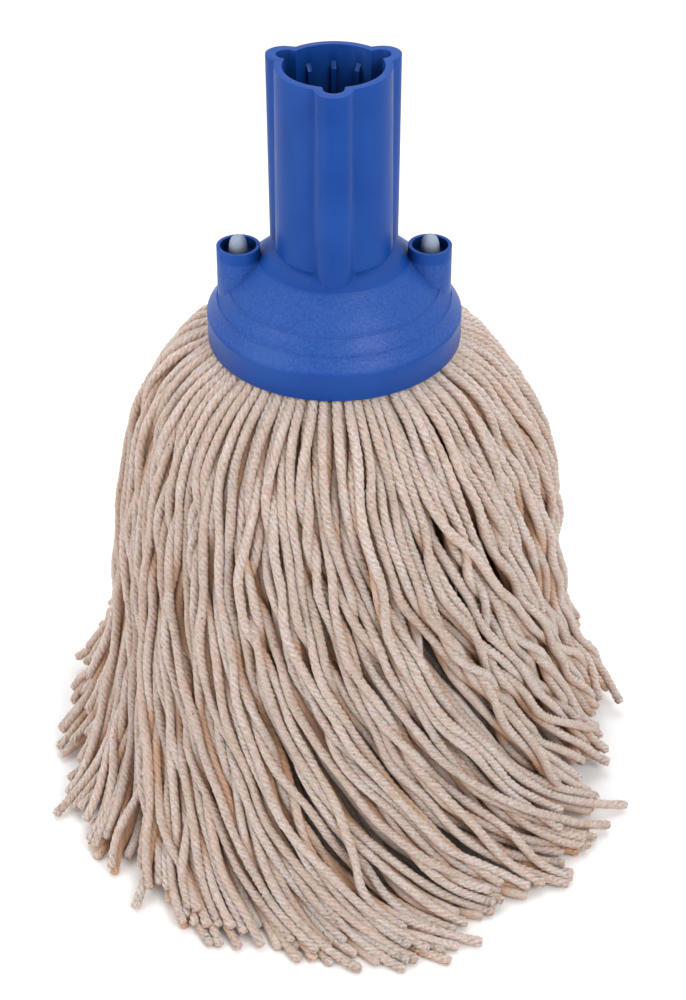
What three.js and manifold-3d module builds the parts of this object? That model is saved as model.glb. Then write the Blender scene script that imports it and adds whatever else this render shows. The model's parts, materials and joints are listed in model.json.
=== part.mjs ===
// String mop head: a blue moulded handle socket, two snap-in pins, a clamp bar and the cotton yarn they hold
// Millimetres, +Z up, standing on the ends of its yarn at z = 0, with the socket's axis at x = y = 0.
import * as THREE from 'three';
import { mergeVertices } from 'three/addons/utils/BufferGeometryUtils.js';
import Module from 'manifold-3d';

const wasm = await Module();
wasm.setup();

// Driving dimensions
const skirtZ = 180; // the skirt's lower edge above the floor
const skirtR = 42.5;
const skirtHeight = 9.2;
const wall = 2.4; // the moulding's wall
const gap = 0.4; // between touching pieces
const overlap = 0.5; // how far joined solids reach into each other
const past = 1; // how far a cut runs past the face that it opens
const tubeTopZ = 275;
const collarZ = 212.6; // where the tube meets the collar
const collarR = 24.6;
const collarDrop = 3.2;
const collarLip = 0.3; // the collar stands this far over the cone
const coneBend = [35.3, 201.2]; // the control point of the cone's curve, as (r, z)
const coneStops = [0, 0.15, 0.3, 0.43, 0.65, 0.88, 1]; // points along it, as shares of the way down
const ridgeAt = [0.545, 0.765]; // the two fine rings, as shares of the way down the cone
const ridgeHeight = 0.3;
const ridgeHalf = 0.012; // half a ring's width, as a share of the way down
const tubeTopR = 18.3; // outside of the tube's round wall, at the mouth and at the foot
const tubeFootR = 19.2;
const boreR = 15.9;
const boreFloorZ = 209;
const roofZ = 205; // the cup's roof, under the bore's floor
const cupShoulder = [[0, 7], [3.4, 12.4], [7.6, 16.4]]; // in from the cup's edge, and up from the skirt's
const cupRoofIn = 18; // from the cup's edge to its flat roof
const tubeRootDepth = 4; // how far the tube runs down inside the cone
const lobeCount = 3;
const lobeOutAt = 17.8; // centre of a lobe's outer round, from the axis
const lobeOutR = 5.8;
const lobeInAt = 16.8;
const lobeInR = 3.4;
const lobeOutFillet = 2.4; // how softly a lobe runs into the round wall
const lobeInFillet = 0.4;
const lobedSteps = 144; // points once round the tube
const ribsPerWall = 3;
const ribPitch = THREE.MathUtils.degToRad(30);
const ribWidth = 1.6;
const ribReach = 1.5; // how far a rib stands into the bore
const ribRoot = 0.6; // and how far it runs into the wall
const ribDrop = 4.6; // a rib's tip below the mouth
const ribTipHeight = 3;
const postAt = 31.3; // a post's axis, left and right of the socket's
const postTopZ = 212.8;
const postTopR = 7.2;
const postFootR = 7.5;
const postBoreR = 6;
const postFloorZ = 206;
const postRootUp = 6; // a post's foot, inside the cone, above the skirt's edge
const pinR = 3.4;
const pinTipZ = 216.5;
const pinHeadR = 6.4;
const pinHeadHeight = 2.2;
const pinDomeHeight = 3.2;
const pinDomeStep = 0.4; // the dome's foot, in from the shank
const pinDomeRound = 1; // how far in the dome's curve is pulled at the tip
const barbReach = 1.1;
const barbHeight = 2;
const barZ = 183.2; // the clamp bar's underside
const barThickness = 3;
const barHalfLength = 38.2;
const barHalfWidth = 10;
const lockCount = 10;
const hankCount = 6;
const yarnGap = 1.5; // between neighbouring groups of yarn
const yarnBulge = 0.02; // how much less a group's corners stand out than its middle
const foldMargin = 0.6; // between the folded yarn and the cup
const foldPinMargin = 0.8;
const foldBarMargin = 1;
const lockFootZ = 0.8;
const round = 72; // segments of a large round face
const smallRound = 32;

// The outer locks' outer and inner faces, from their tops to their feet, as (r, z)
const lockOutside = [
  [43, 177.8], [50, 173], [59, 162], [67, 146], [74, 124], [78, 100],
  [81, 75], [86, 50], [95, 27], [107, 10], [120, lockFootZ],
];
const lockInside = [
  [38.5, 177.8], [40, 171], [43, 160], [48, 144], [53, 124], [58, 100],
  [61, 75], [65, 50], [72, 27], [80, 10], [84, lockFootZ],
];
const hankOutside = [
  [36.6, 178.4], [38.2, 171], [41.2, 160], [46.2, 144], [51.2, 124], [56.2, 100],
  [59.2, 75], [63.2, 50], [70.2, 27], [78.2, 10], [82.2, 0],
];
const hankInsideR = 2;

const material = (color, roughness) => new THREE.MeshStandardMaterial({ color, roughness, metalness: 0 });

// ---- Solids ----

function solidOf(geometry) {
  const bare = geometry.clone();
  bare.deleteAttribute('normal');
  bare.deleteAttribute('uv');
  const merged = mergeVertices(bare, 1e-4);
  return new wasm.Manifold(new wasm.Mesh({
    numProp: 3,
    vertProperties: new Float32Array(merged.attributes.position.array),
    triVerts: new Uint32Array(merged.index.array),
  }));
}

function geometryOf(solid) {
  const mesh = solid.getMesh();
  const geometry = new THREE.BufferGeometry();
  geometry.setAttribute('position', new THREE.BufferAttribute(mesh.vertProperties, 3));
  geometry.setIndex(new THREE.BufferAttribute(mesh.triVerts, 1));
  geometry.computeVertexNormals();
  return geometry;
}

// A solid turned about Z from an outline of (r, z) points that starts and ends on the axis
function turned(outline, segments = round) {
  const points = outline.map(([r, z]) => new THREE.Vector2(r, z));
  return new THREE.LatheGeometry(points, segments).rotateX(Math.PI / 2);
}

// An upright round bar from lowZ to highZ
function rod(x, y, lowZ, highZ, lowR, highR = lowR, segments = smallRound) {
  return new THREE.CylinderGeometry(highR, lowR, highZ - lowZ, segments)
    .rotateX(Math.PI / 2)
    .translate(x, y, (lowZ + highZ) / 2);
}

// A closed solid through rings of points, each ring once round in the same sense, flat at both ends
function lofted(rings) {
  const count = rings[0].length;
  const corners = rings.flat();
  const faces = [];
  for (let i = 0; i < rings.length - 1; i += 1) {
    for (let j = 0; j < count; j += 1) {
      const next = (j + 1) % count;
      const [a, b, c, d] = [i * count + j, i * count + next, (i + 1) * count + next, (i + 1) * count + j];
      faces.push(a, b, c, a, c, d);
    }
  }
  for (const [i, turn] of [[0, true], [rings.length - 1, false]]) {
    const flat = rings[i].map((p) => new THREE.Vector2(p.x, p.y));
    for (const [a, b, c] of THREE.ShapeUtils.triangulateShape(flat, [])) {
      const base = i * count;
      faces.push(base + a, base + (turn ? c : b), base + (turn ? b : c));
    }
  }
  const geometry = new THREE.BufferGeometry();
  geometry.setAttribute('position', new THREE.Float32BufferAttribute(corners.flatMap((p) => p.toArray()), 3));
  geometry.setIndex(faces);
  geometry.computeVertexNormals();
  return geometry;
}

const lobeAngles = Array.from({ length: lobeCount }, (_, i) => -Math.PI / 2 + (i * 2 * Math.PI) / lobeCount);

// ---- The blue socket ----

// Once round the tube or its bore: a round core with lobes that run into it on a fillet
function lobedRing(z, coreR, lobeAt, lobeR, fillet) {
  return Array.from({ length: lobedSteps }, (_, i) => {
    const turn = (i / lobedSteps) * lobeCount;
    const fromLobe = Math.abs(turn - Math.round(turn)); // in lobe pitches, to the nearest lobe's middle
    const off = (fromLobe * 2 * Math.PI) / lobeCount;
    const across = lobeAt * Math.sin(off);
    const lobe = across < lobeR ? lobeAt * Math.cos(off) + Math.sqrt(lobeR ** 2 - across ** 2) : 0;
    const nearness = Math.max(fillet - Math.abs(lobe - coreR), 0);
    const r = Math.max(lobe, coreR) + nearness ** 2 / (4 * fillet);
    const angle = lobeAngles[0] + (i * 2 * Math.PI) / lobedSteps;
    return new THREE.Vector3(r * Math.cos(angle), r * Math.sin(angle), z);
  });
}

const handleTube = () => solidOf(lofted([
  lobedRing(boreFloorZ - tubeRootDepth, tubeFootR, lobeOutAt, lobeOutR, lobeOutFillet),
  lobedRing(tubeTopZ, tubeTopR, lobeOutAt, lobeOutR, lobeOutFillet),
]));

const handleBore = () => solidOf(lofted([
  lobedRing(boreFloorZ, boreR, lobeInAt, lobeInR, lobeInFillet),
  lobedRing(tubeTopZ + past, boreR, lobeInAt, lobeInR, lobeInFillet),
]));

// A point of the cone's curve, raised off it by a height
function raised(curve, t, height) {
  const tangent = curve.getTangent(t);
  return curve.getPoint(t).add(new THREE.Vector2(-tangent.y, tangent.x).multiplyScalar(height));
}

// Collar, cone with its two fine rings, and skirt, turned in one piece
function coneOutline() {
  const collarEdgeZ = collarZ - collarDrop;
  const cone = new THREE.QuadraticBezierCurve(
    new THREE.Vector2(collarR, collarEdgeZ - collarLip),
    new THREE.Vector2(...coneBend),
    new THREE.Vector2(skirtR, skirtZ + skirtHeight),
  );
  const smooth = coneStops.map((t) => [t, 0]);
  const ridges = ridgeAt.flatMap((t) => [
    [t - ridgeHalf, 0],
    [t - ridgeHalf / 2, ridgeHeight],
    [t + ridgeHalf / 2, ridgeHeight],
    [t + ridgeHalf, 0],
  ]);
  const stops = [...smooth, ...ridges].sort((a, b) => b[0] - a[0]);
  const side = stops.map(([t, height]) => raised(cone, t, height));
  return [
    [0, skirtZ],
    [skirtR, skirtZ],
    ...side.map((p) => [p.x, p.y]),
    [collarR, collarEdgeZ],
    [tubeFootR, collarZ],
    [0, collarZ],
  ];
}

// The hollow under the cone, which the folded yarn fills, shrunk all round by a margin
function cupOutline(lowZ, margin) {
  const edgeR = skirtR - wall - margin;
  return [
    [0, lowZ],
    [edgeR, lowZ],
    ...cupShoulder.map(([inward, up]) => [edgeR - inward, skirtZ + up - margin]),
    [edgeR - cupRoofIn, roofZ - margin],
    [0, roofZ - margin],
  ];
}

// A rib stands on the bore's wall and ends in a point under the mouth
function rib(angle) {
  const inner = boreR - ribReach;
  const outer = boreR + ribRoot;
  const footZ = boreFloorZ - overlap;
  const topZ = tubeTopZ - ribDrop;
  const side = new THREE.Shape([
    new THREE.Vector2(inner, footZ),
    new THREE.Vector2(outer, footZ),
    new THREE.Vector2(outer, topZ),
    new THREE.Vector2(inner, topZ - ribTipHeight),
  ]);
  return new THREE.ExtrudeGeometry(side, { depth: ribWidth, bevelEnabled: false })
    .translate(0, 0, -ribWidth / 2)
    .rotateX(Math.PI / 2)
    .rotateZ(angle);
}

function socket() {
  let body = solidOf(turned(coneOutline()))
    .add(handleTube());
  for (const side of [-1, 1]) {
    body = body.add(solidOf(rod(side * postAt, 0, skirtZ + postRootUp, postTopZ, postFootR, postTopR)));
  }
  body = body
    .subtract(handleBore())
    .subtract(solidOf(turned(cupOutline(skirtZ - past, 0))));
  for (const side of [-1, 1]) {
    body = body
      .subtract(solidOf(rod(side * postAt, 0, postFloorZ, postTopZ + past, postBoreR)))
      .subtract(solidOf(rod(side * postAt, 0, skirtZ + past, postFloorZ + past, pinR + gap)));
  }
  for (const lobeAngle of lobeAngles) {
    for (let i = 0; i < ribsPerWall; i += 1) {
      const angle = lobeAngle + Math.PI / lobeCount + (i - (ribsPerWall - 1) / 2) * ribPitch;
      body = body.add(solidOf(rib(angle)));
    }
  }
  return geometryOf(body);
}

// ---- The clamp ----

// A head under the bar, a shank through bar, yarn and roof, a barb above the post's floor, and a domed tip
function clampPin(x) {
  const seatZ = barZ - gap;
  const headZ = seatZ - pinHeadHeight;
  const barbZ = postFloorZ + gap;
  const dome = new THREE.QuadraticBezierCurve(
    new THREE.Vector2(pinR - pinDomeStep, pinTipZ - pinDomeHeight),
    new THREE.Vector2(pinR - pinDomeRound, pinTipZ),
    new THREE.Vector2(0, pinTipZ),
  );
  return turned([
    [0, headZ],
    [pinHeadR, headZ],
    [pinHeadR, seatZ],
    [pinR, seatZ],
    [pinR, barbZ],
    [pinR + barbReach, barbZ],
    [pinR, barbZ + barbHeight],
    ...dome.getPoints(5).map((p) => [p.x, p.y]),
  ], smallRound).translate(x, 0, 0);
}

function clampBar() {
  const outline = new THREE.Shape();
  const straight = barHalfLength - barHalfWidth;
  outline.absarc(straight, 0, barHalfWidth, -Math.PI / 2, Math.PI / 2);
  outline.absarc(-straight, 0, barHalfWidth, Math.PI / 2, (3 * Math.PI) / 2);
  outline.closePath();
  for (const side of [-1, 1]) {
    outline.holes.push(new THREE.Path().absarc(side * postAt, 0, pinR + gap, 0, 2 * Math.PI));
  }
  return new THREE.ExtrudeGeometry(outline, { depth: barThickness, bevelEnabled: false, curveSegments: 16 })
    .translate(0, 0, barZ);
}

// ---- The yarn ----

// The folded middle of the strands fills the cup over the clamp bar, and its two sides come down past the bar
function yarnFold() {
  const slotTopZ = barZ + barThickness + foldMargin;
  const slotHeight = slotTopZ - skirtZ + 2 * past;
  const slot = new THREE.BoxGeometry(2 * (skirtR + past), 2 * (barHalfWidth + foldBarMargin), slotHeight)
    .translate(0, 0, slotTopZ - slotHeight / 2);
  let fold = solidOf(turned(cupOutline(skirtZ - foldMargin, foldMargin))).subtract(solidOf(slot));
  for (const side of [-1, 1]) {
    fold = fold.subtract(solidOf(rod(side * postAt, 0, skirtZ, roofZ, pinR + foldPinMargin)));
  }
  return geometryOf(fold);
}

// A wedge of the bell between an outer and an inner line of (r, z) points, half to each side of middle
function yarnWedge(outside, inside, middle, half, across) {
  const arc = (r, z, steps, turn) => Array.from({ length: steps + 1 }, (_, i) => {
    const t = turn * ((2 * i) / steps - 1);
    const edge = half - Math.asin(yarnGap / 2 / r);
    const bulge = turn > 0 ? r * (1 - yarnBulge * t * t) : r;
    return new THREE.Vector3(bulge * Math.cos(middle + t * edge), bulge * Math.sin(middle + t * edge), z);
  });
  const rings = outside.map(([r, z], i) => [
    ...arc(r, z, across, 1),
    ...arc(inside[i][0], inside[i][1], Math.max(1, across - 2), -1),
  ]);
  return lofted(rings.reverse());
}

function outerLock(index) {
  const step = (2 * Math.PI) / lockCount;
  return yarnWedge(lockOutside, lockInside, (index + 0.5) * step, step / 2, 5);
}

function innerHank(index) {
  const step = (2 * Math.PI) / hankCount;
  const inside = hankOutside.map(([, z]) => [hankInsideR, z]);
  return yarnWedge(hankOutside, inside, (index + 0.5) * step, step / 2, 6);
}

// ---- The mop ----

const bluePlastic = [0x2a63b5, 0.42];
const whitePlastic = [0xd8d8dc, 0.4];
const cotton = [0xc8b8a6, 0.95];
const mop = new THREE.Group();

function addPiece(name, geometry, [color, roughness]) {
  const mesh = new THREE.Mesh(geometry, material(color, roughness));
  mesh.name = name;
  mop.add(mesh);
}

addPiece('mop_socket', socket(), bluePlastic);
addPiece('clamp_pin_left', clampPin(-postAt), whitePlastic);
addPiece('clamp_pin_right', clampPin(postAt), whitePlastic);
addPiece('clamp_bar', clampBar(), whitePlastic);
addPiece('yarn_fold', yarnFold(), cotton);
for (let i = 0; i < hankCount; i += 1) {
  addPiece(`inner_hank_${i + 1}`, innerHank(i), cotton);
}
for (let i = 0; i < lockCount; i += 1) {
  addPiece(`outer_lock_${String(i + 1).padStart(2, '0')}`, outerLock(i), cotton);
}

export default mop;
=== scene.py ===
"""A string mop head: a blue moulded socket with two white pins over a bell of loose twisted cotton strands.

Everything is in metres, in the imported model's frame: +Z up, the mop standing on z = 0, the socket's axis at
x = y = 0 and -Y the front.
"""

import json
import math

import bmesh
import bpy
import numpy as np
from mathutils import Euler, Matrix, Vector

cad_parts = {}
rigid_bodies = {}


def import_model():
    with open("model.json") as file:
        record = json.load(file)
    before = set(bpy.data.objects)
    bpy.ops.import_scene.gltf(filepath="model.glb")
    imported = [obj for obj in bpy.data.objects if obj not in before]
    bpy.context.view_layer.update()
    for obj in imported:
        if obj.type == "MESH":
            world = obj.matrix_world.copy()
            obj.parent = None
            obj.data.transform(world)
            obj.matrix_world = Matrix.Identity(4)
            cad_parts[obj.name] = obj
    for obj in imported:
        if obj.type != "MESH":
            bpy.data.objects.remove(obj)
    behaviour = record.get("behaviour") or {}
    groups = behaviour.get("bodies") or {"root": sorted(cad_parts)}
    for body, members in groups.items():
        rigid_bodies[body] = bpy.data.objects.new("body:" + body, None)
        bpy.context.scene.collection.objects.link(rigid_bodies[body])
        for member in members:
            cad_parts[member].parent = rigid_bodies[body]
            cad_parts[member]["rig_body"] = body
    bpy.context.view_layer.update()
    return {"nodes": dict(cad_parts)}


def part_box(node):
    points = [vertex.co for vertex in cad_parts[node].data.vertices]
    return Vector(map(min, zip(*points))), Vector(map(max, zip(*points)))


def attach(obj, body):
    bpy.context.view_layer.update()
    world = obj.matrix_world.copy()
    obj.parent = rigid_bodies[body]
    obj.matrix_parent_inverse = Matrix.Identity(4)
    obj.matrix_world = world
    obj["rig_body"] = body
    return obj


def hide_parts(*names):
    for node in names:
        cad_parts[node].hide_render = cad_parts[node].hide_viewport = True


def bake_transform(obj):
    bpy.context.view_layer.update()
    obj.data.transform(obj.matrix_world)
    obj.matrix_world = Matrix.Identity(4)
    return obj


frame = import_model()
MM = 0.001
rng = np.random.default_rng(3)

# Places that come from the frame
SOCKET_LOW, SOCKET_HIGH = (np.array(corner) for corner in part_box("mop_socket"))
SKIRT_Z = SOCKET_LOW[2]
SKIRT_R = SOCKET_HIGH[0]
CONE_FOOT_Z = SKIRT_Z + 9.2 * MM
CONE_TOP_Z = SKIRT_Z + 29.4 * MM
LOCKS = sorted(name for name in frame["nodes"] if name.startswith("outer_lock"))
HANKS = sorted(name for name in frame["nodes"] if name.startswith("inner_hank"))

# The yarn
STRAND_D = 3.4 * MM
STRAND_R = STRAND_D / 2
POINTS = 73  # along a strand while it settles, about 3 mm apart
HELD = 4  # of them, from the top, stay in the cup
ROUNDS, QUICK_ROUNDS = 110, 30  # of settling
PAIRS_KEPT = 4  # rounds between two searches for strands that touch
TOUCHING = 0.96 * STRAND_D  # how near the middles of two strands may lie
PLIES = 4
LUMPS = 90  # places along a strand with a thickness of their own
PLY_PITCH = 9.5 * MM
FIBRE_STRETCH = 0.16  # of the streaks along the plies, against their size across
FLOOR_GAP = 0.05 * MM
GROOVE = 0.2  # how deep the plies' grooves are, as a share of the strand's radius
RING_STEP = 1.4 * MM  # between two rings of a strand's mesh
LOCK_SIDES, HANK_SIDES = 16, 10  # points round a strand of a lock, and of a hank or the fold
FOLD_LAYERS = 3  # of strands looped over the clamp bar
FOLD_POINTS = 40  # along each of them
SWIRL_MIDDLE = math.radians(-98)  # the strands that turn furthest about the axis on their way down start here
SWIRL_MOST = math.radians(54)
SWIRL_LEAST = math.radians(9)
REACH = 105 * MM  # from the axis to the outer strands' ends, at the back
FRONT_REACH = 13 * MM  # how much further they reach at the front
STRAY_SHARE = 0.11  # of the strands wander further than the others
# Where the ends reach further or less far, as (azimuth in degrees, mm)
FOOT_BULGES = ((-168, -7), (-146, 9), (-128, -6), (-84, 6), (-22, -9), (4, -4))
STRANDS_PER_PIECE = 12
DECLARED = 40  # free strands that get a piece of their own: those that reach furthest out
HAIRS, END_HAIRS = 18, 26  # stray fibres along a strand, and in the tuft at its cut end

# Rings of strands from the outside in: how many, and how deep in the bundle at the top and at the foot
RINGS = [
    (68, 0.0, 0.0), (68, 0.13, 0.01), (66, 0.26, 0.04), (62, 0.40, 0.07), (60, 0.54, 0.12),
    (50, 0.69, 0.21), (38, 0.84, 0.4), (38, 0.98, 0.75),
]
OUTER_RINGS = 4  # these belong to the locks and the rest to the hanks
EVEN_FEET_FROM = 2  # the rings outside this one are evenly spaced at the top, and the others at the foot
OPPOSED_FROM = 2  # the rings outside this one gather in clumps, and the others fill the gaps between those
CLUMPS = ((9, 0.14), (14, 0.18), (21, 0.23), (33, 0.25))  # how many clumps round the axis, and how strong

# The line of a strand's middle from the cup to the floor, as (r, z) in mm, at the bell's outside and core
OUTER_LINE = [
    (36.6, 191), (37.4, 184), (39.6, 178.4), (44.5, 176.4), (50.5, 173), (56.5, 166.5), (62, 156.5),
    (66.6, 144), (71.6, 125), (75.4, 100), (78.0, 76), (82.5, 52), (90.5, 30), (101, 13), (110, 5),
    (120, 2), (142, 2),
]
CORE_LINE = [
    (18, 191), (18.5, 185), (20, 178), (22, 172), (25, 166), (28, 158), (31, 148), (34, 136),
    (37, 118), (40, 95), (43, 73), (46, 50), (51, 30), (58, 13), (68, 5), (85, 2), (120, 2),
]


# ---- Camera, light and floor ----

LIT_POINT = Vector((0, 0, 0.13))  # the middle of the mop


def make_camera():
    """The photograph's view: from the front and above, 37 degrees down, with a 31 degree tall picture."""
    camera = bpy.data.objects.new("camera", bpy.data.cameras.new("camera"))
    bpy.context.scene.collection.objects.link(camera)
    camera.data.sensor_fit = "VERTICAL"
    camera.data.sensor_height = 24
    camera.data.lens = 43.2
    camera.location = (0, -0.5168, SKIRT_Z + 0.3237)
    camera.rotation_euler = Euler((math.radians(90 - 37.45), 0, math.radians(-0.32)))
    bpy.context.scene.camera = camera


def make_lamp(name, place, width, power):
    """A soft square lamp that looks at the lit point."""
    data = bpy.data.lights.new(name, "AREA")
    data.shape = "RECTANGLE"
    data.size, data.size_y = width, width
    data.energy = power
    lamp = bpy.data.objects.new(name, data)
    lamp.location = place
    lamp.rotation_euler = (LIT_POINT - Vector(place)).to_track_quat("-Z", "Y").to_euler()
    bpy.context.scene.collection.objects.link(lamp)


def make_floor(flat_r, rise, segments):
    """A round floor that curves up into a wall all round, so that no horizon shows from any side."""
    bends = [math.radians(a) for a in range(0, 91, 6)]
    profile = [(flat_r + rise * math.sin(a), rise * (1 - math.cos(a))) for a in bends]
    points = [(0, 0, 0)]
    for r, z in profile:
        points += [(r * math.cos(math.tau * k / segments), r * math.sin(math.tau * k / segments), z)
                   for k in range(segments)]
    faces = [(0, 1 + k, 1 + (k + 1) % segments) for k in range(segments)]
    for i in range(len(profile) - 1):
        low, high = 1 + i * segments, 1 + (i + 1) * segments
        for k in range(segments):
            after = (k + 1) % segments
            faces.append((low + k, high + k, high + after, low + after))
    mesh = bpy.data.meshes.new("floor")
    mesh.from_pydata(points, [], faces)
    mesh.shade_smooth()
    floor = bpy.data.objects.new("floor", mesh)
    bpy.context.scene.collection.objects.link(floor)
    return floor


def make_studio():
    """Three soft lamps in a bright white room, and a pale floor."""
    make_lamp("key", (0.55, -0.75, 0.95), 0.45, 5.7)
    make_lamp("fill", (-0.9, -0.5, 0.6), 0.6, 3.5)
    make_lamp("top", (0.0, 0.3, 1.2), 0.8, 5.6)
    world = bpy.data.worlds.new("studio")
    world.use_nodes = True
    world.node_tree.nodes["Background"].inputs["Color"].default_value = (1, 1, 1, 1)
    world.node_tree.nodes["Background"].inputs["Strength"].default_value = 0.75
    bpy.context.scene.world = world
    bpy.context.scene.view_settings.view_transform = "Standard"
    floor = make_floor(2.5, 1.5, 96)
    floor.data.materials.append(floor_material())


# ---- Materials ----


def node_material(name):
    material = bpy.data.materials.new(name)
    material.use_nodes = True
    tree = material.node_tree
    return material, tree, tree.nodes["Principled BSDF"]


def add_node(tree, kind, **settings):
    """Adds a node and sets its inputs and properties by name."""
    node = tree.nodes.new(kind)
    for key, value in settings.items():
        if key in node.inputs:
            node.inputs[key].default_value = value
        else:
            setattr(node, key, value)
    return node


def ramp(tree, source, stops):
    """A colour ramp over a value, with stops of (position, grey or colour)."""
    node = tree.nodes.new("ShaderNodeValToRGB")
    elements = node.color_ramp.elements
    while len(elements) < len(stops):
        elements.new(0.5)
    for element, (at, colour) in zip(elements, stops):
        element.position = at
        element.color = (colour,) * 3 + (1,) if isinstance(colour, (int, float)) else (*colour, 1)
    tree.links.new(source, node.inputs["Fac"])
    return node.outputs["Color"]


def mix_colours(tree, factor, low, high, blend="MIX"):
    """Mixes two colours, each a socket or a colour, by a socket or a number."""
    node = tree.nodes.new("ShaderNodeMix")
    node.data_type = "RGBA"
    node.blend_type = blend
    for socket, value in ((node.inputs["Factor"], factor), (node.inputs[6], low), (node.inputs[7], high)):
        if isinstance(value, bpy.types.NodeSocket):
            tree.links.new(value, socket)
        elif isinstance(value, (int, float)):
            socket.default_value = value
        else:
            socket.default_value = (*value, 1)
    return node.outputs[2]


def add_bump(tree, shader, height, distance, strength=1.0, under=None):
    """Adds a bump from a height socket, over another bump's normal if one is given."""
    bump = add_node(tree, "ShaderNodeBump", Distance=distance, Strength=strength)
    tree.links.new(height, bump.inputs["Height"])
    if under is not None:
        tree.links.new(under, bump.inputs["Normal"])
    tree.links.new(bump.outputs["Normal"], shader.inputs["Normal"])
    return bump.outputs["Normal"]


def floor_material():
    material, _, shader = node_material("pale_floor")
    shader.inputs["Base Color"].default_value = (0.94, 0.94, 0.94, 1)
    shader.inputs["Roughness"].default_value = 0.9
    return material


def cotton_material():
    """Unbleached twisted cotton, with painted shade: warm brown under and between strands and in the pits of
    its bump. Its streaks follow each strand's own plies, so they turn with the twist.
    """
    cream = (0.83, 0.775, 0.78)
    material, tree, shader = node_material("cotton_yarn")
    link = tree.links.new
    fibre = add_node(tree, "ShaderNodeAttribute", attribute_name="fibre")
    tone = add_node(tree, "ShaderNodeAttribute", attribute_name="tone")
    painted_shade = add_node(tree, "ShaderNodeAttribute", attribute_name="painted_shade")
    place = add_node(tree, "ShaderNodeTexCoord")
    streaks = add_node(tree, "ShaderNodeTexNoise", Scale=2600.0, Detail=3.0, Roughness=0.6)
    link(fibre.outputs["Vector"], streaks.inputs["Vector"])
    slubs = add_node(tree, "ShaderNodeTexNoise", Scale=90.0, Detail=3.0)
    link(place.outputs["Object"], slubs.inputs["Vector"])
    pale = ramp(tree, streaks.outputs["Fac"], [(0.34, (0.56, 0.43, 0.34)), (0.56, cream)])
    warm = ramp(tree, slubs.outputs["Fac"], [(0.35, (0.67, 0.56, 0.48)), (0.6, cream)])
    cloth = mix_colours(tree, 0.3, pale, warm)
    toned = mix_colours(tree, tone.outputs["Fac"], cloth, (0.82, 0.74, 0.66), "MULTIPLY")
    cloth = mix_colours(tree, 0.6, cloth, toned)
    nubs = add_node(tree, "ShaderNodeTexNoise", Scale=1000.0, Detail=4.0, Roughness=0.6)
    link(place.outputs["Object"], nubs.inputs["Vector"])
    # Painted shade: the colour goes browner where the nubby bump is low, in its pits
    painted_pit_shade = ramp(tree, nubs.outputs["Fac"], [(0.38, 0.6), (0.52, 0.0)])
    cloth = mix_colours(tree, painted_pit_shade, cloth, (0.51, 0.355, 0.25))
    # Painted shade: a warm brown where a strand lies under others, where it faces into the bundle, and in the
    # grooves between its plies
    cloth = mix_colours(tree, painted_shade.outputs["Fac"], cloth, (0.69, 0.385, 0.225))
    flecks = add_node(tree, "ShaderNodeTexVoronoi", Scale=120.0)
    link(place.outputs["Object"], flecks.inputs["Vector"])
    specks = ramp(tree, flecks.outputs["Distance"], [(0.035, 0.8), (0.055, 0.0)])
    cloth = mix_colours(tree, specks, cloth, (0.14, 0.07, 0.035))
    link(cloth, shader.inputs["Base Color"])
    shader.inputs["Roughness"].default_value = 0.95
    shader.inputs["Sheen Weight"].default_value = 0.15
    shader.inputs["Sheen Roughness"].default_value = 0.5
    shader.inputs["Specular IOR Level"].default_value = 0.15
    shader.inputs["Subsurface Weight"].default_value = 0.5
    shader.inputs["Subsurface Radius"].default_value = (1.0, 0.45, 0.25)
    shader.inputs["Subsurface Scale"].default_value = 2.0 * MM
    under = add_bump(tree, shader, nubs.outputs["Fac"], 1.1 * MM, 1.0)
    add_bump(tree, shader, streaks.outputs["Fac"], 0.5 * MM, 1.0, under)
    return material


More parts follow.
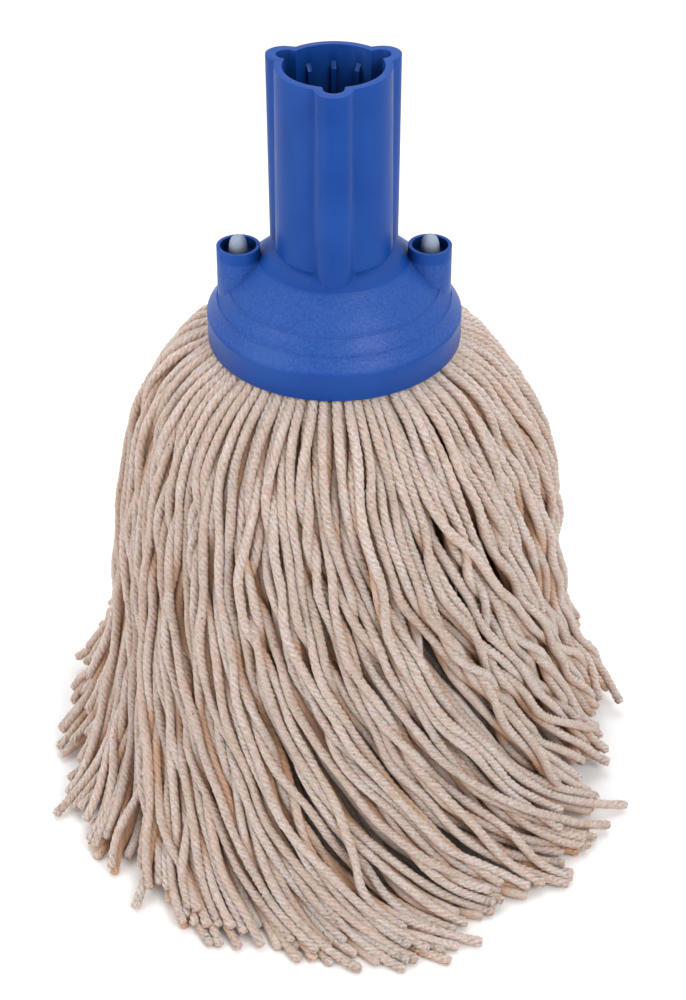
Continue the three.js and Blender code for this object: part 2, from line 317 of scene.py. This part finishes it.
def plastic_material(name, dark, light, grain, roughness, stipple=None):
    """Moulded plastic: cloudy, with painted shade darkening its hollows, a fine grain and a stipple between
    two heights.
    """
    material, tree, shader = node_material(name)
    link = tree.links.new
    place = add_node(tree, "ShaderNodeTexCoord")
    clouds = add_node(tree, "ShaderNodeTexNoise", Scale=55.0, Detail=4.0)
    fine = add_node(tree, "ShaderNodeTexNoise", Scale=1500.0, Detail=2.0)
    for node in (clouds, fine):
        link(place.outputs["Object"], node.inputs["Vector"])
    # Painted shade: the colour falls to near black where ambient occlusion finds hollows, as in the bore
    corners = add_node(tree, "ShaderNodeAmbientOcclusion", Distance=40 * MM, samples=8)
    painted_hollow_shade = ramp(tree, corners.outputs["AO"], [(0.1, 1.0), (0.65, 0.0)])
    body = ramp(tree, clouds.outputs["Fac"], [(0.35, dark), (0.65, light)])
    body = mix_colours(tree, painted_hollow_shade, body, tuple(0.15 * c for c in dark))
    link(body, shader.inputs["Base Color"])
    gloss = ramp(tree, clouds.outputs["Fac"], [(0.3, roughness - 0.06), (0.7, roughness + 0.08)])
    link(gloss, shader.inputs["Roughness"])
    shader.inputs["Specular IOR Level"].default_value = 0.22
    skin = add_bump(tree, shader, fine.outputs["Fac"], grain)
    if stipple:
        parts = add_node(tree, "ShaderNodeSeparateXYZ")
        link(place.outputs["Object"], parts.inputs["Vector"])
        high = tree.nodes.new("ShaderNodeMapRange")
        link(parts.outputs["Z"], high.inputs["Value"])
        for key, value in zip(("From Min", "From Max"), stipple):
            high.inputs[key].default_value = value
        band = ramp(tree, high.outputs["Result"], [(0.0, 0.0), (0.06, 1.0), (0.94, 1.0), (1.0, 0.0)])
        grit = add_node(tree, "ShaderNodeTexNoise", Scale=1100.0, Detail=1.0)
        link(place.outputs["Object"], grit.inputs["Vector"])
        rough = mix_colours(tree, band, (0.5, 0.5, 0.5), grit.outputs["Color"])
        # Paler, mottled colour on the stippled band: partly the stipple's own paler look, partly a painted
        # glint
        haze_and_glint = ramp(tree, grit.outputs["Fac"], [(0.3, 0.3), (0.7, 0.9)])
        hazy_and_glinting = mix_colours(tree, haze_and_glint, body, tuple(1.05 * c + 0.025 for c in light))
        link(mix_colours(tree, band, body, hazy_and_glinting), shader.inputs["Base Color"])
        add_bump(tree, shader, rough, 0.22 * MM, 0.9, skin)
    return material


# ---- Strand routes ----


def smooth_line(line, closer=3):
    """The (r, z) line in metres with its corners rounded off by cutting them, ends kept."""
    points = np.array(line, float) * MM
    for _ in range(closer):
        cut = np.empty((2 * len(points), 2))
        cut[0::2][:-1] = 0.75 * points[:-1] + 0.25 * points[1:]
        cut[1::2][:-1] = 0.25 * points[:-1] + 0.75 * points[1:]
        points = np.vstack([points[:1], cut[: 2 * len(points) - 2], points[-1:]])
    return points


def step_up(value, low, high):
    """0 below low, 1 above high, and smooth between."""
    t = np.clip((value - low) / (high - low), 0, 1)
    return t * t * (3 - 2 * t)


def swirl_of(turn):
    """How far a strand from this azimuth turns about the axis: most at the front left."""
    return SWIRL_LEAST + (SWIRL_MOST - SWIRL_LEAST) * abs(math.cos((turn - SWIRL_MIDDLE) / 2)) ** 3


def start_of(end):
    """The azimuth from which a strand turns to this one."""
    turn = end
    for _ in range(12):
        turn = end - swirl_of(turn)
    return turn


def depth_along(share, depth_top, depth_foot, stray):
    """How deep in the bundle a strand is along it: 0 at the outside, 1 at the core."""
    depth = depth_top + (depth_foot - depth_top) * step_up(share, 0.03, 0.3)
    depth = depth + rng.normal(0, 0.03) * step_up(share, 0.1, 0.4)
    return np.maximum(depth, -0.03) - 0.05 * stray * step_up(share, 0.2, 0.5)


def reach_of(turn, end, depth_foot, phases):
    """How far from the axis the strand ends that starts at the azimuth turn."""
    reach = REACH * (1 - 0.22 * depth_foot) + rng.normal(0, 2.0) * MM
    reach += (3.5 * math.sin(11 * turn + phases[0]) + 3 * math.sin(25 * turn + phases[1])) * MM
    reach += FRONT_REACH * max(0, -math.sin(end))
    for middle, bulge in FOOT_BULGES:
        reach += bulge * MM * max(0, math.cos(end - math.radians(middle))) ** 40
    return reach


def line_to(reach, depth, share, outer_line, core_line):
    """A strand's (r, z) at even steps of its length, between the outer line and the core's."""
    full = (1 - depth[:, None, None]) * outer_line[None] + depth[:, None, None] * core_line[None]
    run = np.zeros(full.shape[:2])
    run[:, 1:] = np.cumsum(np.linalg.norm(np.diff(full, axis=1), axis=2), axis=1)
    length = np.interp(reach, full[-1, :, 0], run[-1])
    return np.array([
        [np.interp(length * t, run[i], full[i, :, c]) for c in (0, 1)] for i, t in enumerate(share)
    ])


def angle_along(share, ring, turn, end, stray, phases):
    """A strand's azimuth along it: its swirl, the clump it gathers in, and its own wandering."""
    swirl = swirl_of(turn) * (1 + 0.04 * math.sin(5 * turn + phases[2]) + rng.normal(0, 0.07))
    front = max(0, -math.sin(end))  # there the ends lie across; elsewhere they straighten outwards
    late = front * share**3 + (1 - front) * step_up(share, 0.2, 0.95)
    angle = turn + swirl * (0.1 * share + 0.9 * late)
    for n, (many, size) in enumerate(CLUMPS):
        grow = step_up(share, 0.08, 0.5) * (-1 if ring >= OPPOSED_FROM else 1)
        if n == len(CLUMPS) - 1:
            grow = grow * (1 + 2.5 * step_up(share, 0.75, 1.0))
        angle += size / many * grow * np.sin(many * turn + phases[3 + n] + 2.2 * share * (-1) ** n)
    angle += rng.normal(0, 0.2 if stray else 0.065) * step_up(share, 0.05, 1.0)
    angle += rng.normal(0, 0.06) * step_up(share, 0.82, 1.0)
    return angle


def layout():
    """Every strand's first route, as it would lie with no thickness, with the outward normal along it."""
    outer_line, core_line = smooth_line(OUTER_LINE), smooth_line(CORE_LINE)
    share = np.linspace(0, 1, POINTS)
    loose, low = step_up(share, 0.08, 0.3), step_up(share, 0.15, 0.35)
    phases = rng.uniform(0, math.tau, 16)
    routes, normals = [], []
    for ring, (count, depth_top, depth_foot) in enumerate(RINGS):
        for k in range(count):
            turn = math.tau * (k + 0.5 * (ring % 2) + rng.normal(0, 0.2)) / count
            if ring >= EVEN_FEET_FROM:
                turn = start_of(turn)
            end = turn + swirl_of(turn)
            stray = rng.random() < STRAY_SHARE
            depth = depth_along(share, depth_top, depth_foot, stray)
            reach = reach_of(turn, end, depth_foot, phases)
            line = line_to(reach, depth, share, outer_line, core_line)
            angle = angle_along(share, ring, turn, end, stray, phases)
            radius, height = line.T
            waves = (rng.uniform(1, 2.5), 1.6), (rng.uniform(3, 6), 0.9), (rng.uniform(7, 12), 0.3)
            for cycles, size in waves:
                angle += size * MM / radius * loose * np.sin(math.tau * (cycles * share + rng.random()))
                radius = radius + 0.8 * size * MM * loose * np.sin(math.tau * (cycles * share + rng.random()))
            lean = (3.5 - 2 * share) * np.cos(angle) + 1.4 * np.sin(6 * turn + phases[7] + 4 * share)
            radius = radius + lean * MM * low
            x, y = np.cos(angle), np.sin(angle)
            routes.append(np.stack([radius * x, radius * y, height], 1))
            slope = np.gradient(line, axis=0)
            slope /= np.linalg.norm(slope, axis=1, keepdims=True)
            normals.append(np.stack([-slope[:, 1] * x, -slope[:, 1] * y, slope[:, 0]], 1))
    return np.array(routes), np.array(normals)


def near_pairs(points, reach):
    """Index pairs of points nearer than reach, found on a grid."""
    cell = np.floor((points - points.min(0)) / reach).astype(np.int64) + 1
    size = cell.max(0) + 2
    key = (cell[:, 0] * size[1] + cell[:, 1]) * size[2] + cell[:, 2]
    order = np.argsort(key, kind="stable")
    ordered = key[order]
    found = []
    for dx, dy, dz in [(0, 0, 0)] + [
        (x, y, z) for x in (-1, 0, 1) for y in (-1, 0, 1) for z in (-1, 0, 1) if (x, y, z) > (0, 0, 0)
    ]:
        shifted = key + (dx * size[1] + dy) * size[2] + dz
        low = np.searchsorted(ordered, shifted, "left")
        many = np.searchsorted(ordered, shifted, "right") - low
        first = np.repeat(np.arange(len(points)), many)
        within = np.arange(many.sum()) - np.repeat(np.cumsum(many) - many, many)
        second = order[np.repeat(low, many) + within]
        if (dx, dy, dz) == (0, 0, 0):
            keep = first < second
            first, second = first[keep], second[keep]
        gap = points[first] - points[second]
        close = np.einsum("ij,ij->i", gap, gap) < reach**2
        found.append(np.stack([first[close], second[close]], 1))
    return np.vstack(found)


def settle(start, rounds):
    """Pushes overlapping strands apart and off the socket and floor, near their first routes.

    They keep their length, and their first points stay in the cup.
    """
    count, points = start.shape[:2]
    strand = np.repeat(np.arange(count), points)
    rest = np.linalg.norm(np.diff(start, axis=1), axis=2)
    free = step_up(np.arange(points), HELD - 1, HELD + 3)[None, :, None]
    place = start.copy()
    for turn in range(rounds):
        flat = place.reshape(-1, 3)
        if turn % PAIRS_KEPT == 0:
            pairs = near_pairs(flat, 1.3 * STRAND_D)
            pairs = pairs[strand[pairs[:, 0]] != strand[pairs[:, 1]]]
        # Apart, where two strands are too near
        one, two = pairs.T
        apart = flat[one] - flat[two]
        distance = np.linalg.norm(apart, axis=1) + 1e-9
        lack = np.clip(TOUCHING - distance, 0, None)
        push = apart / distance[:, None] * (0.4 * lack)[:, None]
        moved = np.stack([
            np.bincount(one, push[:, c], len(flat)) - np.bincount(two, push[:, c], len(flat))
            for c in range(3)
        ], 1)
        place = place + moved.reshape(place.shape) * free
        # Smoothly, and a little back towards the first routes
        drift = place - start
        even = drift.copy()
        even[:, 1:-1] = 0.5 * drift[:, 1:-1] + 0.25 * (drift[:, :-2] + drift[:, 2:])
        place = start + (0.5 * drift + 0.5 * even) * 0.997
        # Back to their length, every second step at a time
        for side in (0, 1):
            a, b = place[:, side:-1:2], place[:, side + 1::2]
            step = b - a
            size = np.linalg.norm(step, axis=2, keepdims=True)
            fix = 0.3 * step * (1 - rest[:, side::2, None] / size)
            a += fix
            b -= fix
        # Held in the cup, under the skirt's edge and above the floor
        place[:, :HELD] = start[:, :HELD]
        radius = np.linalg.norm(place[..., :2], axis=2)
        under_skirt = (radius > SKIRT_R - 4 * MM) & (radius < SKIRT_R + STRAND_R)
        ceiling = np.where(under_skirt, SKIRT_Z - STRAND_R - 0.2 * MM, np.inf)
        ceiling = np.where(under_skirt & (place[..., 2] > SKIRT_Z + 3 * MM), np.inf, ceiling)
        place[..., 2] = np.clip(place[..., 2], STRAND_R, ceiling)
    for _ in range(3):
        place[:, 1:-1] = 0.5 * place[:, 1:-1] + 0.25 * (place[:, :-2] + place[:, 2:])
    return place


def evened(routes):
    """The routes with their points evenly spaced along them."""
    along = np.cumsum(np.linalg.norm(np.diff(routes, axis=1, prepend=routes[:, :1]), axis=2), axis=1)
    return np.array([
        np.stack([np.interp(np.linspace(0, run[-1], POINTS), run, route[:, c]) for c in range(3)], 1)
        for run, route in zip(along, routes)
    ])


def cover_of(place, normals):
    """How far each point lies under other strands, from 0 in the open to 1 deep in the bundle; it drives the
    strands' painted shade.
    """
    count, points = place.shape[:2]
    flat, normal = place.reshape(-1, 3), normals.reshape(-1, 3)
    strand = np.repeat(np.arange(count), points)
    pairs = near_pairs(flat, 2 * STRAND_D)
    pairs = pairs[strand[pairs[:, 0]] != strand[pairs[:, 1]]]
    cover = np.zeros(len(flat))
    for low, high in (pairs.T, pairs.T[::-1]):
        gap = flat[high] - flat[low]
        above = np.einsum("ij,ij->i", gap, normal[low])
        beside = np.sqrt(np.clip(np.einsum("ij,ij->i", gap, gap) - above**2, 0, None))
        share = np.clip(above / STRAND_D, 0, 1) * np.clip(1.6 - beside / STRAND_R, 0, 1)
        cover += np.bincount(low, share, len(flat))
    cover = cover.reshape(count, points)
    cover[:, 1:-1] = 0.5 * cover[:, 1:-1] + 0.25 * (cover[:, :-2] + cover[:, 2:])
    return np.clip(cover / 1.3, 0, 1)


# ---- Strand meshes ----


def finer(values, step_count):
    """The values at evenly spaced places along each strand, on a smooth curve through the old ones."""
    points = values.shape[1]
    at = np.linspace(0, points - 1, step_count)
    i = np.clip(at.astype(int), 0, points - 2)
    t = (at - i).reshape(1, -1, *[1] * (values.ndim - 2))
    p0, p1 = values[:, np.maximum(i - 1, 0)], values[:, i]
    p2, p3 = values[:, i + 1], values[:, np.minimum(i + 2, points - 1)]
    return 0.5 * (
        2 * p1 + (p2 - p0) * t + (2 * p0 - 5 * p1 + 4 * p2 - p3) * t**2 + (3 * p1 - p0 - 3 * p2 + p3) * t**3
    )


def frames_along(routes):
    """Two axes across each strand at each point, which don't turn about the strand."""
    tangent = np.gradient(routes, axis=1)
    tangent /= np.linalg.norm(tangent, axis=2, keepdims=True)
    side = np.empty_like(routes)
    outward = routes[:, 0] * [1, 1, 0]
    first = outward - tangent[:, 0] * np.einsum("ij,ij->i", outward, tangent[:, 0])[:, None]
    side[:, 0] = first / np.linalg.norm(first, axis=1, keepdims=True)
    for i in range(1, routes.shape[1]):
        before, ahead = side[:, i - 1], tangent[:, i]
        carried = before - ahead * np.einsum("ij,ij->i", before, ahead)[:, None]
        side[:, i] = carried / np.linalg.norm(carried, axis=1, keepdims=True)
    return tangent, side, np.cross(tangent, side)


def tube(many, around):
    """Faces of a tube through many rings of points, with a fan to a middle point, added last, at each end."""
    i, j = np.meshgrid(np.arange(many - 1), np.arange(around), indexing="ij")
    a, b = (i * around + j).ravel(), (i * around + (j + 1) % around).ravel()
    quads = np.stack([a, b, b + around, a + around], 1)
    k = np.arange(around)
    top, foot, last = many * around, many * around + 1, (many - 1) * around
    start = np.stack([np.full(around, top), (k + 1) % around, k], 1)
    end = np.stack([np.full(around, foot), last + k, last + (k + 1) % around], 1)
    return quads, np.vstack([start, end])


def strand_surface(route, side, other, normal, cover, around, grooved):
    """Points, faces, fibre coordinates and painted shade of one twisted strand with a frayed cut end.

    A grooved strand's mesh turns with its plies. Otherwise the strand is round and only its pattern turns.
    The own angle is counted from a ply, and the turned one from the side axis.
    """
    many = len(route)
    along = np.concatenate([[0], np.cumsum(np.linalg.norm(np.diff(route, axis=0), axis=1))])
    from_end = along[-1] - along
    angle = np.linspace(0, math.tau, around, endpoint=False)
    phase = rng.uniform(0, math.tau)

    # Thickness: uneven, swollen towards the frayed end, and narrower at the cut itself
    fray = 1 - step_up(from_end, 0, 5 * MM)
    lumps = np.interp(along, np.linspace(0, along[-1], LUMPS), rng.normal(0, 0.04, LUMPS))
    thick = STRAND_R * (1.0 + lumps + 0.05 * np.sin(along * 190 + 3 * phase))
    thick = thick * (1 + 0.14 * fray - 0.2 * (1 - step_up(from_end, 0, 1.2 * MM)))

    # The plies, with a groove between each two
    pitch = PLY_PITCH * rng.uniform(0.85, 1.3)
    twist = phase - math.tau * along / pitch + 0.5 * np.sin(along * 120 + 5 * phase)
    own = angle[None] - (0 if grooved else 1) * twist[:, None]
    turned = own + twist[:, None]
    groove = (1 - np.abs(np.cos(PLIES * own / 2)) ** 0.7) * (1 if grooved else 0.3)
    across = side[:, None] * np.cos(turned)[..., None] + other[:, None] * np.sin(turned)[..., None]
    depth = (GROOVE + 0.1 * fray)[:, None] if grooved else 0
    nubby = 1 + rng.normal(0, 0.03 if grooved else 0, (many, around))
    reach = thick[:, None] * nubby * (1 - depth * groove)
    points = route[:, None] + across * reach[..., None]

    # The ragged cut end
    tangent = route[-1] - route[-2]
    tangent /= np.linalg.norm(tangent)
    points[-1] += tangent * (rng.uniform(-0.2, 0.3, around) * MM)[:, None]
    ends = np.stack([route[0], route[-1] + tangent * 0.5 * MM])

    # What the material reads: painted shade from how deep each point lies under other strands, how far it
    # faces into the bundle and how deep it sits in a groove, and where it is on the twisted fibres
    facing = np.einsum("ijk,ik->ij", across, normal)
    painted_shade = cover[:, None] * 0.85 + 0.6 * np.clip((1 - facing) / 2, 0, 1) ** 1.3 + 0.3 * groove
    down = (along * FIBRE_STRETCH)[:, None].repeat(around, 1) + phase
    fibre = np.stack([np.cos(own) * STRAND_R, np.sin(own) * STRAND_R, down], 2)

    points = np.vstack([points.reshape(-1, 3), ends])
    points[:, 2] = np.maximum(points[:, 2], FLOOR_GAP)
    fibre = np.vstack([fibre.reshape(-1, 3), fibre[0, 0][None], fibre[-1, 0][None]])
    painted_shade = np.append(painted_shade.ravel(), (cover[0], cover[-1]))
    quads, fans = tube(many, around)
    return points, quads, fans, fibre, np.clip(painted_shade, 0, 1)


def hairs(route, side, other):
    """Fine stray fibres along a strand and a tuft at its cut end, each a thin three-sided tube."""
    total = HAIRS + END_HAIRS
    place = np.append(rng.uniform(0.08, 0.99, HAIRS), rng.uniform(0.985, 1.0, END_HAIRS)) * (len(route) - 2)
    i = place.astype(int)
    turn = rng.uniform(0, math.tau, total)
    outward = side[i] * np.cos(turn)[:, None] + other[i] * np.sin(turn)[:, None]
    along = route[i + 1] - route[i]
    along /= np.linalg.norm(along, axis=1, keepdims=True)
    tuft = np.arange(total) >= HAIRS
    lean = np.where(tuft, rng.uniform(0.9, 2.0, total), rng.uniform(-2.2, 2.2, total))
    aim = outward * np.where(tuft, 0.7, 1)[:, None] + along * lean[:, None]
    aim /= np.linalg.norm(aim, axis=1, keepdims=True)
    size = np.where(tuft, rng.uniform(0.9, 2.2, total), rng.uniform(0.8, 2.4, total)) * MM
    root = route[i] + outward * (0.75 * STRAND_R)
    bend = np.cross(aim, outward) * rng.normal(0, 0.5, total)[:, None] - outward * 0.35
    points = []
    for t, thick in ((0, 0.08), (0.5, 0.07), (1.0, 0.02)):
        middle = root + (aim * t + bend * t * t * 0.5) * size[:, None]
        middle[:, 2] = np.maximum(middle[:, 2], 2 * FLOOR_GAP)
        first = np.cross(aim, [0.31, 0.59, 0.74])
        first /= np.linalg.norm(first, axis=1, keepdims=True)
        second = np.cross(aim, first)
        for corner in range(3):
            a = math.tau * corner / 3
            points.append(middle + (first * math.cos(a) + second * math.sin(a)) * thick * MM)
    points = np.stack(points, 1)
    base = (np.arange(total) * 9)[:, None]
    sides = [[r + c, r + (c + 1) % 3, r + 3 + (c + 1) % 3, r + 3 + c] for r in (0, 3) for c in range(3)]
    quads = (base[:, None] + np.array(sides)[None]).reshape(-1, 4)
    caps = (base[:, None] + np.array([[2, 1, 0], [6, 7, 8]])[None]).reshape(-1, 3)
    return points.reshape(-1, 3), quads, caps


def mesh_object(name, parts):
    """One object from the strands' parts: (points, quads, triangles, fibre, painted shade, tone)."""
    base, quads, triangles = 0, [], []
    for part in parts:
        quads.append(part[1] + base)
        triangles.append(part[2] + base)
        base += len(part[0])
    quads, triangles = np.vstack(quads), np.vstack(triangles)
    mesh = bpy.data.meshes.new(name)
    mesh.vertices.add(base)
    mesh.vertices.foreach_set("co", np.vstack([part[0] for part in parts]).ravel())
    mesh.loops.add(quads.size + triangles.size)
    corners = np.concatenate([quads.ravel(), triangles.ravel()])
    mesh.loops.foreach_set("vertex_index", corners.astype(np.int32))
    starts = np.append(np.arange(len(quads)) * 4, quads.size + np.arange(len(triangles)) * 3)
    mesh.polygons.add(len(starts))
    mesh.polygons.foreach_set("loop_start", starts.astype(np.int32))
    mesh.update(calc_edges=True)
    fibre = np.vstack([part[3] for part in parts])
    painted_shade = np.concatenate([part[4] for part in parts])
    tone = np.concatenate([np.full(len(part[0]), part[5]) for part in parts])
    mesh.attributes.new("fibre", "FLOAT_VECTOR", "POINT").data.foreach_set("vector", fibre.ravel())
    mesh.attributes.new("painted_shade", "FLOAT", "POINT").data.foreach_set("value", painted_shade)
    mesh.attributes.new("tone", "FLOAT", "POINT").data.foreach_set("value", tone)
    mesh.shade_smooth()
    made = bpy.data.objects.new(name, mesh)
    bpy.context.scene.collection.objects.link(made)
    return made


def build_yarn(cotton):
    """All strands of the locks and hanks, in pieces of a few strands, with the furthest ones on their own."""
    routes, normals = layout()
    routes = evened(settle(routes, ROUNDS))
    cover = cover_of(routes, normals)
    lengths = np.linalg.norm(np.diff(routes, axis=1), axis=2).sum(1)
    fine_count = int(lengths.mean() / RING_STEP)
    outer_count = sum(ring[0] for ring in RINGS[:OUTER_RINGS])
    fine, normal, painted_shade = (finer(values, fine_count) for values in (routes, normals, cover))
    _, side, other = frames_along(fine)
    end_turn = np.arctan2(routes[:, -1, 1], routes[:, -1, 0]) % math.tau
    reach = np.linalg.norm(routes[:outer_count, -1, :2], axis=1)
    declared = sorted(np.argsort(-reach)[:DECLARED].tolist())
    groups = {node: [] for node in LOCKS + HANKS}
    for k in range(len(routes)):
        nodes = LOCKS if k < outer_count else HANKS
        groups[nodes[int(end_turn[k] / math.tau * len(nodes)) % len(nodes)]].append(k)
    for node, members in groups.items():
        is_lock = node in LOCKS
        body = frame["nodes"][node]["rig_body"] if is_lock else "root"
        rows = slice(None) if is_lock else slice(None, None, 2)
        around = LOCK_SIDES if is_lock else HANK_SIDES
        strands, fuzz = [], []
        for k in members:
            tone = rng.random()
            lines = fine[k, rows], side[k, rows], other[k, rows]
            surface = strand_surface(*lines, normal[k, rows], painted_shade[k, rows], around, is_lock)
            if is_lock:
                points, quads, caps = hairs(*lines)
                fuzz.append((points, quads, caps, points, np.zeros(len(points)), tone))
            if k in declared:
                strand = mesh_object(f"free_strand_{declared.index(k) + 1:02d}", [(*surface, tone)])
                finish_yarn(strand, cotton, body)
            else:
                strands.append((*surface, tone))
        starts = range(0, len(strands), STRANDS_PER_PIECE)
        pieces = [
            mesh_object(f"{node}_strands_{n + 1}", strands[i:i + STRANDS_PER_PIECE])
            for n, i in enumerate(starts)
        ]
        if fuzz:
            pieces.append(mesh_object(node + "_fuzz", fuzz))
        for piece in pieces:
            finish_yarn(piece, cotton, body)
            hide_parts(node)


def build_fold(cotton):
    """The folded middles of the strands, looped over the clamp bar inside the cup, clear of the two pins."""
    node = frame["nodes"]["yarn_fold"]
    low, high = (np.array(corner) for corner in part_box("yarn_fold"))
    bar_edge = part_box("clamp_bar")[1][1]
    pins = [np.array(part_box(name)).mean(0)[0] for name in ("clamp_pin_left", "clamp_pin_right")]
    pin_r = np.ptp(np.array(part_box("clamp_pin_left"))[:, 0]) / 2
    step = 1.03 * STRAND_D
    loops = []
    for x in np.arange(low[0] + 2 * STRAND_D, high[0] - 2 * STRAND_D, step):
        if min(abs(x - pin) for pin in pins) < pin_r + STRAND_R:
            continue
        half = math.sqrt((high[0] - STRAND_D) ** 2 - x * x)
        for layer in range(FOLD_LAYERS):
            wide = half - layer * step
            if wide < bar_edge + STRAND_D:
                break
            over = [Vector((x, y, high[2] + MM)) for y in np.linspace(-wide, wide, 25)]
            hits = [node.ray_cast(place, Vector((0, 0, -1))) for place in over]
            tops = [hit[1][2] if hit[0] else low[2] for hit in hits]
            sunk = STRAND_R + layer * step
            arch = [(x, place.y, max(top - sunk, low[2])) for place, top in zip(over, tops)]
            legs = [(x, side * wide, low[2]) for side in (-1, 1)]
            loops.append(np.array([legs[0], *arch, legs[1]]))
    routes = np.array([finer(smoothed(loop)[None], FOLD_POINTS)[0] for loop in loops])
    _, side, other = frames_along(routes)
    upward = np.tile([0.0, 0.0, 1.0], (FOLD_POINTS, 1))
    # Painted shade: the fold's strands count as half covered by others
    cover = np.full(FOLD_POINTS, 0.5)
    strands = [
        (*strand_surface(routes[k], side[k], other[k], upward, cover, HANK_SIDES, False), rng.random())
        for k in range(len(routes))
    ]
    fold = mesh_object("yarn_fold_strands", strands)
    finish_yarn(fold, cotton, "root")
    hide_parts("yarn_fold")


def smoothed(line, rounds=3):
    """The line with its inner points moved towards their neighbours."""
    for _ in range(rounds):
        line = np.vstack([line[:1], 0.5 * line[1:-1] + 0.25 * (line[:-2] + line[2:]), line[-1:]])
    return line


def finish_yarn(piece, cotton, body):
    """Gives a piece its material. A piece of the root body is fastened to it, and any other has its place
    baked into its mesh.
    """
    piece.data.materials.append(cotton)
    if body == "root":
        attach(piece, "root")
    else:
        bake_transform(piece)


# ---- The socket and clamp ----

EDGE_ROUNDING = 0.3 * MM


def build_socket(blue, white):
    """The socket's own mesh with its sharp edges rounded as a moulding's are, and the white pins and bar."""
    source = frame["nodes"]["mop_socket"]
    mesh = source.data.copy()
    mesh.name = "socket_moulding"
    mesh.materials.clear()
    work = bmesh.new()
    work.from_mesh(mesh)
    bmesh.ops.remove_doubles(work, verts=work.verts, dist=1e-6)
    bmesh.ops.dissolve_limit(work, angle_limit=math.radians(0.5), verts=work.verts, edges=work.edges)
    work.to_mesh(mesh)
    work.free()
    socket = bpy.data.objects.new("socket_moulding", mesh)
    bpy.context.scene.collection.objects.link(socket)
    bevel = socket.modifiers.new("rounded_edges", "BEVEL")
    bevel.width = EDGE_ROUNDING
    bevel.segments = 2
    bevel.limit_method = "ANGLE"
    bevel.angle_limit = math.radians(32)
    mesh.shade_smooth()
    mesh.materials.append(blue)
    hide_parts("mop_socket")
    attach(socket, "root")
    for name in ("clamp_pin_left", "clamp_pin_right", "clamp_bar"):
        for place in frame["nodes"][name].material_slots:
            place.material = white


make_camera()
make_studio()
cotton = cotton_material()
build_yarn(cotton)
build_fold(cotton)
blue = plastic_material(
    "blue_plastic", (0.0025, 0.048, 0.265), (0.0045, 0.06, 0.30), 0.05 * MM, 0.38, (CONE_FOOT_Z, CONE_TOP_Z)
)
white = plastic_material("white_plastic", (0.24, 0.29, 0.38), (0.30, 0.35, 0.45), 0.03 * MM, 0.4)
build_socket(blue, white)
